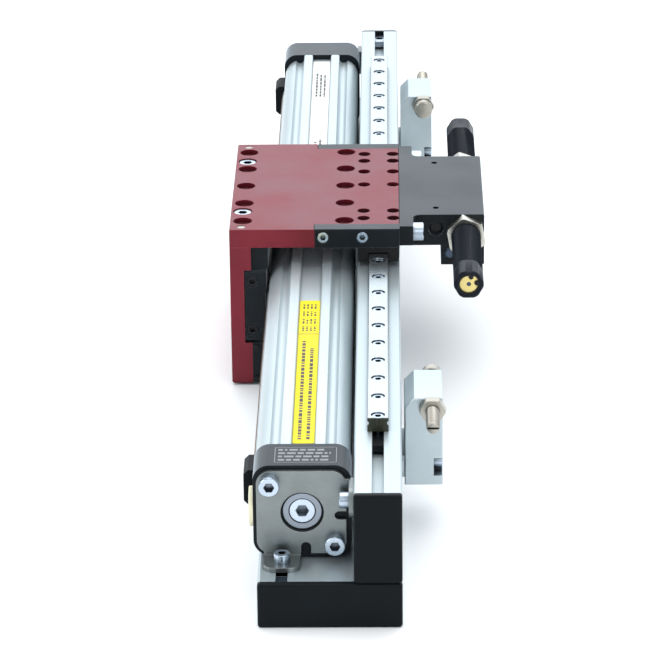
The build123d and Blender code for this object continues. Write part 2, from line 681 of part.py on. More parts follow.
def block_end_cap(y0):
    solid = block(10.3, 29.7, y0, y0 + BLOCK_CAP, 62.4, 69.4)
    solid = fillet(solid.edges().filter_by(Axis.Y).group_by(Axis.Z)[-1], 1.0)
    return solid - rail_passage(y0, y0 + BLOCK_CAP)


def block_end_caps():
    caps = []
    for centre in BLOCK_CENTRES:
        caps.append(block_end_cap(centre - BLOCK_HALF - BLOCK_CAP))
        caps.append(block_end_cap(centre + BLOCK_HALF))
    return caps


def guide_balls():
    pitch = 1.9
    balls = []
    for centre in BLOCK_CENTRES:
        for side in (-1, 1):
            for step in range(10):
                y = centre + (step - 4.5) * pitch
                balls.append(Pos(UPRIGHT_MID + side * RACE_OFFSET, y, RACE_Z) * Sphere(BALL_RADIUS))
    return balls


def block_screws():
    return [cap_screw((x, y, DECK_Z[0] + 4), "+z", 3, 6) for x, y in deck_screw_places()]


def corner_bar():
    solid = block(LEG_X[1], -32, DECK_Y[0] + 2, 53, 58.8, DECK_Z[0])
    solid = chamfer(solid.edges().filter_by(Axis.Y).group_by(Axis.X)[-1], 0.5)
    for y in BAR_SCREW_Y:
        solid -= pin((LEG_X[1], y, 64), "+x", 5, 2.0)
    return solid


def leg_side_screws():
    return [cap_screw((SIDE_SEAT, y, z), "-x", 4, 10) for y, z in side_screw_places()]


def drive_mount():
    y0 = DECK_Y[0] + 8
    y1 = DECK_Y[1] - 8
    solid = block(LEG_RECESS_X, -33.2, y0, y1, 23, 57.2)
    solid = chamfer(solid.edges().filter_by(Axis.Y).group_by(Axis.X)[-1], 1.0)
    solid -= block(-33.5, -33.2, y0, y1, 35.5, 47.5)
    solid -= block(-38, -33.2, -20, 30, 40.4, 42.6)
    for y in MOUNT_SCREW_Y:
        for z in MOUNT_SCREW_Z:
            solid -= pin((LEG_RECESS_X, y, z), "+x", 8.5, 2.0)
    for y in YOKE_SCREW_Y:
        solid -= pin((YOKE_SCREW_X, y, 57.2), "-z", 24, 1.5)
        solid -= pin((YOKE_SCREW_X, y, 57.2), "-z", 3, 3.0)
    for x, z in DRIVE_END_SCREWS:
        solid -= bar_y(x, z, y0, y0 + 4, 1.5)
        solid -= bar_y(x, z, y1 - 4, y1, 1.5)
    return solid


def drive_end_plate():
    y0 = DECK_Y[0]
    y1 = y0 + 8
    solid = block(LEG_RECESS_X + 0.3, -32.9, y0, y1, 23, 58)
    solid = chamfer(solid.faces().sort_by(Axis.Y)[0].edges(), 0.4)
    solid -= block(-33.5, -32.9, y0, y1, 35.5, 47.5)
    for x, z in DRIVE_END_SCREWS:
        solid -= bar_y(x, z, y0, y1, 1.7)
        solid -= bar_y(x, z, y0, y0 + 3, 2.9)
    return solid


def piston_yoke():
    solid = bar_y(BORE_X, BORE_Z, MIDDLE - 45, MIDDLE + 45, 8.0)
    solid += block(-38, BORE_X, MIDDLE - 25, MIDDLE + 25, 40.4, 42.6)
    for y in YOKE_SCREW_Y:
        solid -= pin((YOKE_SCREW_X, y, 38), "+z", 8, 1.5)
    return solid


def piston_head():
    """Near piston with a groove for its seal."""
    y0 = MIDDLE - 57
    y1 = MIDDLE - 45
    solid = bar_y(BORE_X, BORE_Z, y0, y1, BORE_RADIUS - 0.1)
    solid = chamfer(solid.edges().group_by(Axis.Y)[0], 0.6)
    groove = bar_y(BORE_X, BORE_Z, y0 + 4, y0 + 7, BORE_RADIUS)
    return solid - (groove - bar_y(BORE_X, BORE_Z, y0 + 4, y0 + 7, BORE_RADIUS - 2))


def piston_seal():
    y0 = MIDDLE - 53
    ring = bar_y(BORE_X, BORE_Z, y0, y0 + 3, BORE_RADIUS - 0.05)
    return ring - bar_y(BORE_X, BORE_Z, y0, y0 + 3, BORE_RADIUS - 2)


def yoke_screws():
    return [cap_screw((YOKE_SCREW_X, y, 54.2), "+z", 3, 20) for y in YOKE_SCREW_Y]


def switch_flag():
    solid = block(LEG_X[1], -34.6, *DECK_Y, 1.5, 21.3)
    solid = chamfer(solid.edges().filter_by(Axis.Y).group_by(Axis.X)[-1], 0.4)
    for y, z in flag_screw_places():
        solid -= pin((LEG_X[1], y, z), "+x", 4.4, 1.5)
    for z in FLAG_PIN_Z:
        solid -= bar_y(FLAG_PIN_X, z, DECK_Y[0], DECK_Y[0] + 6, 0.9)
        solid -= bar_y(FLAG_PIN_X, z, DECK_Y[1] - 6, DECK_Y[1], 0.9)
    return solid


def flag_screws():
    screws = [cap_screw((LEG_X[0] + 4, y, z), "-x", 3, 10) for y, z in flag_screw_places()]
    for z in FLAG_PIN_Z:
        small = bar_y(FLAG_PIN_X, z, DECK_Y[0] - 0.7, DECK_Y[0], 1.4)
        small += bar_y(FLAG_PIN_X, z, DECK_Y[0], DECK_Y[0] + 6, 0.9)
        screws += both_ends(small, MIDDLE)
    return screws


# ---- shock absorber bracket -------------------------------------------------------------------
def bracket_plan():
    """Outline of the bracket seen from above: long flange, shorter main block."""
    face = Rectangle(6.3, 112.8, align=(Align.MIN, Align.CENTER))
    face += Pos(0, 0) * Rectangle(40.1, 2 * BRACKET_HALF, align=(Align.MIN, Align.CENTER))
    inner = [v for v in face.vertices() if abs(v.X - 6.3) < 0.01 and abs(abs(v.Y) - BRACKET_HALF) < 0.01]
    face = fillet(inner, 4.0)
    return Pos(DECK[1], MIDDLE, 0) * face


def shock_bracket():
    x0 = DECK[1]
    y0 = MIDDLE - BRACKET_HALF
    y1 = MIDDLE + BRACKET_HALF
    top = DECK_Z[1]
    solid = Pos(0, 0, 69.4) * extrude(bracket_plan(), amount=top - 69.4)
    solid += block(x0 + 6.3, 70.1, y0, y1, 63.6, top)
    solid += block(49.6, 70.1, y0, y1, 53.7, top)
    long_edges = solid.edges().filter_by(Axis.Y).group_by(Axis.X)[-1]
    solid = chamfer(long_edges, 0.5)
    solid -= block(39.5, 68, MIDDLE - WINDOW_HALF, MIDDLE + WINDOW_HALF, 50, 75.6)
    solid -= bar_y(*SHOCK_AXIS, y0, y1, SHOCK_RADIUS)
    solid -= bar_y(*UPPER_ROD, y0, y1, 3.0)
    solid -= bar_y(*UPPER_ROD, y0, y0 + 3, 3.7)
    solid -= bar_y(*UPPER_ROD, y1 - 3, y1, 3.7)
    solid -= bar_y(*LOWER_ROD, y0, y1, 2.7)
    for y in set_screw_places():
        solid -= pin((UPPER_ROD[0], y, top), "-z", 6, 1.5)
    for y in BRACKET_SCREW_Y:
        solid -= pin((x0, y, BRACKET_SCREW_Z), "+x", 7, 2.7)
    return solid


def set_screw_places():
    return (MIDDLE - 31.6, MIDDLE + 31.6)


def bracket_screws():
    x = DECK[1] + 6.3
    return [cap_screw((x, y, BRACKET_SCREW_Z), "+x", 5, 14) for y in BRACKET_SCREW_Y]


def lug_guide_rods():
    upper = bar_y(*UPPER_ROD, MIDDLE - 38, MIDDLE + 38, 3.0)
    lower = bar_y(*LOWER_ROD, MIDDLE - 41.6, MIDDLE + 41.6, 2.7)
    return [chamfer(upper.edges(), 0.4), fillet(lower.edges(), 1.2)]


def rod_set_screws():
    return [set_screw((UPPER_ROD[0], y, UPPER_ROD[1] + 5.9), "+z", 2.9) for y in set_screw_places()]


def shock_body():
    """Near shock absorber: threaded tube, hexagon end, mouth for the rod."""
    front = MIDDLE - SHOCK_TIP
    rear = front - SHOCK_LENGTH
    solid = bar_y(*SHOCK_AXIS, rear, front, SHOCK_RADIUS)
    solid = chamfer(solid.edges(), 0.5)
    x, z = SHOCK_AXIS
    flats = Pos(x, rear, z) * TURN["+y"] * extrude(RegularPolygon(13 / math.sqrt(3), 6), amount=15)
    ring = bar_y(x, z, rear, rear + 15, SHOCK_RADIUS + 1) - flats
    solid -= ring
    solid -= bar_y(x, z, rear, rear + 2.2, 5.0)
    return solid - bar_y(x, z, front - 30, front, 2.55)


def shock_nut():
    y1 = MIDDLE - BRACKET_HALF
    return hex_nut(SHOCK_AXIS, y1 - 6, y1, 17, SHOCK_RADIUS, 20)


def shock_end_disc():
    rear = MIDDLE - SHOCK_TIP - SHOCK_LENGTH
    disc = bar_y(*SHOCK_AXIS, rear + 1.2, rear + 2.2, 4.65)
    return disc - bar_y(*SHOCK_AXIS, rear + 1.2, rear + 1.7, 1.0)


def shock_circlip():
    """Flat ring in the rear mouth of the body, with two lugs."""
    rear = MIDDLE - SHOCK_TIP - SHOCK_LENGTH
    x, z = SHOCK_AXIS
    y0 = rear + 0.5
    ring = bar_y(x, z, y0, y0 + 0.7, 5.0) - bar_y(x, z, y0, y0 + 0.7, 4.2)
    gap = Pos(x, y0, z) * Rot(0, -42, 0) * block(0, 8, 0, 0.7, -1.6, 1.6)
    ring -= gap
    for angle in (74, 10):
        lug_x = x + 3.7 * math.cos(math.radians(angle))
        lug_z = z + 3.7 * math.sin(math.radians(angle))
        ring += bar_y(lug_x, lug_z, y0, y0 + 0.7, 1.1)
    return ring


# ---- moving inside the carriage ---------------------------------------------------------------
def stop_lug():
    y0 = MIDDLE - LUG_HALF
    y1 = MIDDLE + LUG_HALF
    solid = block(38.6, 67.5, y0, y1, 54.2, 63.2)
    solid += block(40, 67.5, y0, y1, 63.2, 75.2)
    solid = chamfer(solid.edges().filter_by(Axis.Y).group_by(Axis.X)[-1], 0.5)
    solid -= bar_y(*UPPER_ROD, y0, y1, 3.05)
    return solid - bar_y(*LOWER_ROD, y0, y1, 2.75)


def shock_rod():
    """Near rod with its button in front of the lug."""
    contact = MIDDLE - LUG_HALF - 0.1
    button = bar_y(*SHOCK_AXIS, contact - 3, contact, 4.0)
    button = chamfer(button.edges(), 0.5)
    return button + bar_y(*SHOCK_AXIS, contact - 27.9, contact - 2, 2.5)


def main():
    os.makedirs("parts", exist_ok=True)
    cores = [(x, BASE_TOP / 2) for x in (-MODULE, 0, MODULE)]
    upright_cores = [(UPRIGHT_MID, z) for z in (LOWER_SLOT_Z, UPPER_SLOT_Z)]

    write("base_profile", base_profile())
    write("upright_profile", upright_profile())
    write("base_end_caps", both_ends(end_cap(-BASE_HALF, BASE_HALF, 0, BASE_TOP, cores), 0))
    write("upright_end_caps", both_ends(end_cap(*UPRIGHT_X, BASE_TOP, UPRIGHT_TOP, upright_cores), 0))
    write("profile_screws", profile_screws())
    write("slot_nuts", slot_nuts())

    write("guide_rail", guide_rail())
    write("rail_nut_bar", rail_nut_bar())
    write("rail_screws", rail_screws())

    write("cylinder_barrel", cylinder_barrel())
    write("cylinder_cap_near", cylinder_cap(True))
    write("cylinder_cap_far", mirrored(cylinder_cap(False), CYLINDER_MIDDLE))
    write("cap_tie_screws", cap_tie_screws())
    write("cap_orings", cap_orings())
    write("mounting_plate_near", mounting_plate())
    write("mounting_plate_far", mirrored(mounting_plate(), CYLINDER_MIDDLE))
    write("plate_screws", plate_screws())
    write("foot_screws", foot_screws())
    write("cover_bands", cover_bands())
    write("band_clamps", both_ends(band_clamp(), CYLINDER_MIDDLE))
    write("band_clamp_screws", band_clamp_screws())
    write("port_plug", port_plug())
    write("dust_plug", dust_plug())
    write("labels", labels())

    write("stop_blocks", both_ends(stop_block(), (STOP_NEAR + STOP_FAR) / 2))
    write("stop_screws", stop_screw(ANVIL_NEAR, STUD_ENDS[0]), stop_screw(ANVIL_FAR, STUD_ENDS[1]))
    write("stop_nuts", stop_nuts())
    write("stop_clamp_screws", stop_clamp_screws())

    write("carriage_plate", carriage_plate())
    write("carriage_leg", carriage_leg())
    write("leg_screws", leg_screws())
    write("leg_dowels", leg_dowels())
    write("end_plates", both_ends(end_plate(), MIDDLE))
    write("end_screws", end_screws())
    write("rail_wipers", both_ends(rail_wiper(), MIDDLE))
    write("guide_blocks", [guide_block(centre) for centre in BLOCK_CENTRES])
    write("block_end_caps", block_end_caps())
    write("guide_balls", guide_balls())
    write("block_screws", block_screws())
    write("corner_bar", corner_bar())
    write("leg_side_screws", leg_side_screws())
    write("drive_mount", drive_mount())
    write("drive_end_plates", both_ends(drive_end_plate(), MIDDLE))
    write("piston_yoke", piston_yoke())
    write("piston_heads", both_ends(piston_head(), MIDDLE))
    write("piston_seals", both_ends(piston_seal(), MIDDLE))
    write("yoke_screws", yoke_screws())
    write("switch_flag", switch_flag())
    write("flag_screws", flag_screws())

    write("shock_bracket", shock_bracket())
    write("bracket_screws", bracket_screws())
    write("lug_guide_rods", lug_guide_rods())
    write("rod_set_screws", rod_set_screws())
    write("shock_bodies", both_ends(shock_body(), MIDDLE))
    write("shock_nuts", both_ends(shock_nut(), MIDDLE))
    write("shock_end_discs", both_ends(shock_end_disc(), MIDDLE))
    write("shock_circlips", both_ends(shock_circlip(), MIDDLE))

    write("stop_lug", stop_lug())
    write("shock_rod_front", shock_rod())
    write("shock_rod_rear", mirrored(shock_rod(), MIDDLE))


main()
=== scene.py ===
import json
import math
import random

import bmesh
import bpy
from mathutils import Matrix, Vector


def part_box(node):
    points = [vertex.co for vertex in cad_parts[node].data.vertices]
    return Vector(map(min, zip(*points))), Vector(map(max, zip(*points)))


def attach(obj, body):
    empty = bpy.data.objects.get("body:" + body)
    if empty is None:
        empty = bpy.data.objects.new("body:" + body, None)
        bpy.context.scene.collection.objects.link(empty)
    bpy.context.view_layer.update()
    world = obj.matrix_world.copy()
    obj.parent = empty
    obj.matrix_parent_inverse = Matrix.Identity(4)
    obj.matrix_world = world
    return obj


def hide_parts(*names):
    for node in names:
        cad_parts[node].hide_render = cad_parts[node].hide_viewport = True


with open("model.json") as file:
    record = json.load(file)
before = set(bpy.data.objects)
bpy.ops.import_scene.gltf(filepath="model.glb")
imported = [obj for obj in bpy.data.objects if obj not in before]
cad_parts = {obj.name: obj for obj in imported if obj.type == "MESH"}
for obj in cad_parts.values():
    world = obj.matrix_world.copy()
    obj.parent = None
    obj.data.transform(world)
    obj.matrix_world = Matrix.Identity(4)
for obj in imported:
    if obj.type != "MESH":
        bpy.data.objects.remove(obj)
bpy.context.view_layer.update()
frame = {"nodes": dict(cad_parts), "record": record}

MM = 0.001
NODES = frame["nodes"]


# ---- materials --------------------------------------------------------------------------------
def linear(red, green, blue):
    """sRGB values from 0 to 255 as a linear colour."""
    values = []
    for value in (red, green, blue):
        share = value / 255
        values.append(share / 12.92 if share <= 0.04045 else ((share + 0.055) / 1.055) ** 2.4)
    return (*values, 1.0)


def node(tree, kind, **inputs):
    """New shader node with some of its inputs set."""
    made = tree.nodes.new(kind)
    for name, value in inputs.items():
        made.inputs[name.replace("_", " ")].default_value = value
    return made


def noise(tree, scale, detail=3.0, roughness=0.55):
    """Noise in metres of the object's own space, with one scale per axis."""
    place = node(tree, "ShaderNodeTexCoord")
    stretch = node(tree, "ShaderNodeMapping", Scale=scale)
    made = node(tree, "ShaderNodeTexNoise", Scale=1.0, Detail=detail, Roughness=roughness)
    tree.links.new(place.outputs["Object"], stretch.inputs["Vector"])
    tree.links.new(stretch.outputs["Vector"], made.inputs["Vector"])
    return made.outputs["Fac"]


def spread(tree, source, low, high, from_low=0.3, from_high=0.7):
    """Source mapped to a range of values."""
    made = node(tree, "ShaderNodeMapRange", From_Min=from_low, From_Max=from_high, To_Min=low, To_Max=high)
    tree.links.new(source, made.inputs["Value"])
    return made.outputs["Result"]


def mixed(tree, factor, first, second):
    """Two colours, or a colour output and a colour, mixed by a factor."""
    made = tree.nodes.new("ShaderNodeMix")
    made.data_type = "RGBA"
    tree.links.new(factor, made.inputs[0])
    for socket, value in ((made.inputs[6], first), (made.inputs[7], second)):
        if isinstance(value, tuple):
            socket.default_value = value
        else:
            tree.links.new(value, socket)
    return made.outputs[2]


def painted_shade_mask(tree, reach):
    """Mask for the painted shade: near 1 in the open and near 0 deep in sockets, bores and narrow gaps."""
    made = node(tree, "ShaderNodeAmbientOcclusion", Distance=reach * MM)
    made.samples = 6
    return spread(tree, made.outputs["AO"], 0.0, 1.0, 0.2, 0.8)


def surface(name, dark, light, metallic, rough, grain, depth, patches=(35, 35, 35), edge=0.3,
            wear_and_highlight=None, wear_and_highlight_amount=0.5, coat=0.0, gloss=0.5, sheen=0.0, painted_shade=None, reach=3.0):
    """Surface with cloudy colour, uneven gloss, grain, rounded looking edges, edges lightened by wear and by
    a painted edge highlight, and painted shade in hollows.
    """
    made = bpy.data.materials.new(name)
    made.use_nodes = True
    tree = made.node_tree
    shader = tree.nodes["Principled BSDF"]
    shader.inputs["Metallic"].default_value = metallic
    shader.inputs["Coat Weight"].default_value = coat
    shader.inputs["Specular IOR Level"].default_value = gloss
    shader.inputs["Sheen Weight"].default_value = sheen
    shader.inputs["Sheen Roughness"].default_value = 0.35
    shader.inputs["Sheen Tint"].default_value = (0.78, 0.9, 1.0, 1)
    clouds = noise(tree, patches, 4.0)
    fine = noise(tree, grain, 2.0)
    both = tree.nodes.new("ShaderNodeMath")
    both.operation = "MULTIPLY_ADD"
    both.inputs[1].default_value = 0.35
    tree.links.new(fine, both.inputs[0])
    tree.links.new(spread(tree, clouds, 0.0, 0.65), both.inputs[2])
    colour = mixed(tree, both.outputs[0], dark, light)
    soft = node(tree, "ShaderNodeBevel", Radius=edge * MM)
    soft.samples = 4
    # edges lighter in colour: partly wear, partly a painted edge highlight
    if wear_and_highlight:
        flat = tree.nodes.new("ShaderNodeNewGeometry")
        alike = tree.nodes.new("ShaderNodeVectorMath")
        alike.operation = "DOT_PRODUCT"
        tree.links.new(soft.outputs["Normal"], alike.inputs[0])
        tree.links.new(flat.outputs["Normal"], alike.inputs[1])
        mask = spread(tree, alike.outputs["Value"], wear_and_highlight_amount, 0.0, 0.82, 0.99)
        colour = mixed(tree, mask, colour, wear_and_highlight)
    # painted shade: the colour is darkened towards a shade colour in sockets, bores and narrow gaps
    if painted_shade:
        colour = mixed(tree, painted_shade_mask(tree, reach), painted_shade, colour)
    tree.links.new(colour, shader.inputs["Base Color"])
    tree.links.new(spread(tree, clouds, *rough), shader.inputs["Roughness"])
    bump = node(tree, "ShaderNodeBump", Strength=1.0, Distance=depth * MM)
    tree.links.new(fine, bump.inputs["Height"])
    tree.links.new(soft.outputs["Normal"], bump.inputs["Normal"])
    tree.links.new(bump.outputs["Normal"], shader.inputs["Normal"])
    return made


ALONG_Y = (1400, 14, 1400)
EVEN = (1500, 1500, 1500)
TURNED = (2600, 900, 2600)

# colour of the painted shade in the sockets of the zinc plated screws
PAINTED_SHADE_DARK = linear(26, 30, 38)

# the edge colours lighten edges as wear and as a painted edge highlight; the shade colours paint shade into
# sockets, holes and gaps
MATERIALS = {
    "natural_aluminium": surface(
        "natural_aluminium", linear(178, 191, 195), linear(202, 212, 216), 0.7, (0.34, 0.46), ALONG_Y, 0.012,
        patches=(30, 6, 30), edge=0.25, painted_shade=linear(84, 92, 100), reach=2.0),
    "milled_aluminium": surface(
        "milled_aluminium", linear(172, 185, 190), linear(196, 206, 210), 1.0, (0.30, 0.44), EVEN, 0.01,
        edge=0.35, painted_shade=linear(84, 92, 100), reach=2.0),
    "black_anodised": surface(
        "black_anodised", linear(10, 15, 19), linear(17, 24, 29), 0.0, (0.30, 0.42), EVEN, 0.006,
        wear_and_highlight=linear(78, 86, 94), wear_and_highlight_amount=0.35, edge=0.35, gloss=0.18, sheen=0.5),
    "cap_black": surface(
        "cap_black", linear(10, 15, 19), linear(17, 24, 29), 0.0, (0.28, 0.40), EVEN, 0.006,
        wear_and_highlight=linear(66, 72, 80), wear_and_highlight_amount=0.3, edge=0.5, gloss=0.14, sheen=0.6),
    "black_plastic": surface(
        "black_plastic", linear(9, 13, 16), linear(15, 21, 25), 0.0, (0.38, 0.5), (900, 900, 900), 0.02,
        edge=0.5, gloss=0.1),
    "burgundy_anodised": surface(
        "burgundy_anodised", linear(102, 20, 34), linear(128, 33, 47), 0.25, (0.30, 0.46), EVEN, 0.012,
        wear_and_highlight=linear(172, 92, 104), wear_and_highlight_amount=0.4, edge=0.3, gloss=0.35, sheen=0.15, painted_shade=linear(10, 3, 5),
        reach=6.0),
    "rail_steel": surface(
        "rail_steel", linear(172, 182, 186), linear(200, 209, 213), 1.0, (0.22, 0.34),
        (1800, 20, 1800), 0.008, patches=(60, 10, 60), edge=0.25, painted_shade=linear(48, 52, 58)),
    "sheet_steel": surface(
        "sheet_steel", linear(114, 120, 120), linear(142, 148, 148), 0.9, (0.30, 0.44),
        (300, 300, 2200), 0.01, patches=(70, 70, 70), edge=0.4, wear_and_highlight=linear(190, 191, 187), wear_and_highlight_amount=0.4),
    "zinc_steel": surface(
        "zinc_steel", linear(166, 180, 196), linear(206, 218, 230), 1.0, (0.18, 0.32), TURNED, 0.006,
        edge=0.2, painted_shade=PAINTED_SHADE_DARK, reach=4.5),
    "boss_grey": surface(
        "boss_grey", linear(132, 140, 152), linear(150, 158, 168), 0.9, (0.3, 0.4), TURNED, 0.006, edge=0.2),
    "rod_steel": surface(
        "rod_steel", linear(58, 68, 82), linear(84, 96, 112), 0.9, (0.2, 0.34), TURNED, 0.004, edge=0.2),
    "black_steel": surface(
        "black_steel", linear(13, 14, 17), linear(23, 25, 28), 0.0, (0.3, 0.44), TURNED, 0.006, edge=0.15,
        wear_and_highlight=linear(70, 74, 80), wear_and_highlight_amount=0.3, gloss=0.25),
    "bright_steel": surface(
        "bright_steel", linear(190, 192, 194), linear(220, 222, 224), 1.0, (0.14, 0.26), TURNED, 0.004,
        edge=0.2),
    "plain_steel": surface(
        "plain_steel", linear(160, 156, 146), linear(188, 184, 175), 1.0, (0.26, 0.4), TURNED, 0.006,
        edge=0.2, painted_shade=linear(36, 34, 32), reach=2.0),
    "nut_silver": surface(
        "nut_silver", linear(186, 184, 174), linear(216, 214, 204), 1.0, (0.2, 0.32), TURNED, 0.006,
        edge=0.2, painted_shade=linear(40, 40, 40), reach=3.0),
    # dark olive for the rail's end faces: dull cut steel, darkened further with painted shade
    "rail_end_cut_and_painted_shade": surface(
        "rail_end_cut_and_painted_shade", linear(58, 60, 50), linear(78, 80, 68), 0.8, (0.34, 0.48), EVEN, 0.01, edge=0.2),
    "band_steel": surface(
        "band_steel", linear(92, 70, 56), linear(118, 92, 74), 0.9, (0.28, 0.4), ALONG_Y, 0.006, edge=0.1),
    "shock_nitrided": surface(
        "shock_nitrided", linear(12, 16, 23), linear(22, 28, 38), 0.0, (0.30, 0.44), TURNED, 0.004,
        wear_and_highlight=linear(74, 80, 90), wear_and_highlight_amount=0.3, edge=0.12, gloss=0.14),
    "lug_steel": surface(
        "lug_steel", linear(92, 96, 100), linear(126, 131, 136), 1.0, (0.26, 0.4), EVEN, 0.008, edge=0.3),
    "piston_aluminium": surface(
        "piston_aluminium", linear(180, 182, 184), linear(214, 216, 217), 1.0, (0.26, 0.38), TURNED, 0.006),
    "rubber_black": surface(
        "rubber_black", linear(15, 15, 15), linear(28, 28, 28), 0.0, (0.6, 0.75), (700, 700, 700), 0.02,
        gloss=0.25),
    "brass": surface(
        "brass", linear(206, 184, 112), linear(234, 216, 150), 1.0, (0.2, 0.32), TURNED, 0.006, edge=0.2,
        painted_shade=linear(60, 52, 34), reach=1.2),
    "cream_plastic": surface(
        "cream_plastic", linear(214, 208, 178), linear(232, 227, 200), 0.0, (0.35, 0.45), EVEN, 0.006),
    "label_yellow": surface(
        "label_yellow", linear(238, 212, 8), linear(248, 226, 20), 0.0, (0.4, 0.5), (500, 500, 500), 0.006,
        gloss=0.2),
    "label_white": surface(
        "label_white", linear(232, 232, 228), linear(244, 244, 241), 0.0, (0.3, 0.4), (500, 500, 500), 0.006,
        coat=0.3),
    "print_black": surface(
        "print_black", linear(24, 24, 24), linear(36, 36, 36), 0.0, (0.35, 0.45), EVEN, 0.003),
    "print_white": surface(
        "print_white", linear(118, 122, 126), linear(140, 144, 148), 0.0, (0.4, 0.5), EVEN, 0.003),
}
# nodes that look different from the rest of their slot
OWN_MATERIAL = {"stop_blocks": "milled_aluminium", "flag_screws": "black_steel",
                "leg_dowels": "plain_steel", "shock_nuts": "nut_silver"}


BOSS_RADIUS = 8.3
BOSS_HEIGHT = 0.4
DRIVE_SIDE_X = -30                  # the drive end plates lie left of this
DISC_CENTRE_RADIUS = 1.05


def dress_cad_nodes():
    """Every CAD node gets the material of its slot."""
    for row in frame["record"]["subparts"]:
        name = OWN_MATERIAL.get(row["node"], row["material_slot"])
        mesh = NODES[row["node"]].data
        mesh.materials.clear()
        mesh.materials.append(MATERIALS[name])


def second_material(name, material, chosen):
    """A second material for the faces that are chosen by their centre, in millimetres."""
    mesh = NODES[name].data
    mesh.materials.append(MATERIALS[material])
    for face in mesh.polygons:
        if chosen(face.center / MM):
            face.material_index = 1


def middle_of(name):
    """Middle of a node's box, in millimetres."""
    low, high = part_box(name)
    return (low + high) / 2 / MM


def within(name, radius):
    """Test for points that are nearer than radius to the Y axis through a node's middle."""
    axis = middle_of(name)
    return lambda point: math.hypot(point.x - axis.x, point.z - axis.z) < radius


def dress_details():
    """Port bosses, black screws of the drive end plates, lower lug rod, disc centres, and cut rail ends
    darkened with painted shade.
    """
    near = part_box("cylinder_cap_near")[0].y / MM
    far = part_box("cylinder_cap_far")[1].y / MM
    boss = within("port_plug", BOSS_RADIUS)
    second_material("cylinder_cap_near", "boss_grey",
                    lambda point: point.y < near + BOSS_HEIGHT and boss(point))
    second_material("cylinder_cap_far", "boss_grey",
                    lambda point: point.y > far - BOSS_HEIGHT and boss(point))
    second_material("end_screws", "black_steel", lambda point: point.x < DRIVE_SIDE_X)
    rods = middle_of("lug_guide_rods")
    second_material("lug_guide_rods", "rod_steel", lambda point: point.z < rods.z)
    second_material("shock_end_discs", "rod_steel", within("shock_end_discs", DISC_CENTRE_RADIUS))
    # the rail's end faces get a dark colour that is partly cut steel and partly painted shade
    ends = [corner.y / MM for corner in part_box("guide_rail")]
    second_material("guide_rail", "rail_end_cut_and_painted_shade", lambda point: min(abs(point.y - end) for end in ends) < 0.01)


# ---- mesh helpers -----------------------------------------------------------------------------
def add_mesh(name, points, faces, body, slot, material=None, smooth_angle=None):
    """New piece from points in millimetres."""
    mesh = bpy.data.meshes.new(name)
    mesh.from_pydata([Vector(point) * MM for point in points], [], faces)
    piece = bpy.data.objects.new(name, mesh)
    bpy.context.scene.collection.objects.link(piece)
    work = bmesh.new()
    work.from_mesh(mesh)
    bmesh.ops.recalc_face_normals(work, faces=work.faces)
    work.to_mesh(mesh)
    work.free()
    if smooth_angle:
        mesh.shade_smooth()
        mesh.set_sharp_from_angle(angle=math.radians(smooth_angle))
    mesh.materials.append(MATERIALS[material or slot])
    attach(piece, body)
    return piece


def joined(parts):
    """Several point and face lists as one."""
    points = []
    faces = []
    for more_points, more_faces in parts:
        base = len(points)
        points += more_points
        faces += [tuple(base + index for index in face) for face in more_faces]
    return points, faces


def turned_mesh(axis, rings, segments):
    """Points and faces of a closed body of rings along Y; a radius may depend on the angle."""
    x, z = axis
    points = []
    faces = []
    for y, radius in rings:
        for step in range(segments):
            angle = 2 * math.pi * step / segments
            size = radius(angle) if callable(radius) else radius
            points.append((x + size * math.cos(angle), y, z + size * math.sin(angle)))
    for row in range(len(rings) - 1):
        for step in range(segments):
            after = (step + 1) % segments
            first = row * segments
            second = first + segments
            faces.append((first + step, first + after, second + after, second + step))
    faces.append(tuple(range(segments)))
    last = (len(rings) - 1) * segments
    faces.append(tuple(range(last + segments - 1, last - 1, -1)))
    return points, faces


def thread_rings(y0, y1, major, depth, pitch, steps=4):
    """Rings of a right-handed thread that runs out at both ends."""
    rings = []
    count = max(2, round((y1 - y0) / pitch * steps))
    for row in range(count + 1):
        y = y0 + (y1 - y0) * row / count
        run_out = min(1.0, (y - y0) / pitch, (y1 - y) / pitch)

        def radius(angle, y=y, run_out=run_out):
            phase = (y / pitch - angle / (2 * math.pi)) % 1.0
            ridge = abs(2 * phase - 1)
            return major - depth * (1 - ridge * max(run_out, 0.0))

        rings.append((y, radius))
    return rings


def hexagon(across, limit):
    """Radius of a hexagon as a function of the angle, cut by a circle."""
    def radius(angle):
        part = angle % (math.pi / 3) - math.pi / 6
        return min(limit, across / 2 / math.cos(part))
    return radius


# ---- threaded pieces --------------------------------------------------------------------------
ROD_MOUTH = 2.55                    # radius of the hole for the shock absorber rod
SHOCK_TIP = 15.0                    # distance of the body tips from the carriage centre
SHOCK_MAJOR = 6.98                  # M14 x 1
SHOCK_FLATS = 13.0
FLATS_LENGTH = 15.0
STOP_MAJOR = 2.98                   # M6 x 1
STOP_HALF = 15.7                    # half length of a stop block
STOP_GAP = 1.1                      # from the near block to the near anvil
NUT_THICK = 5.0
ANVIL = 4.9


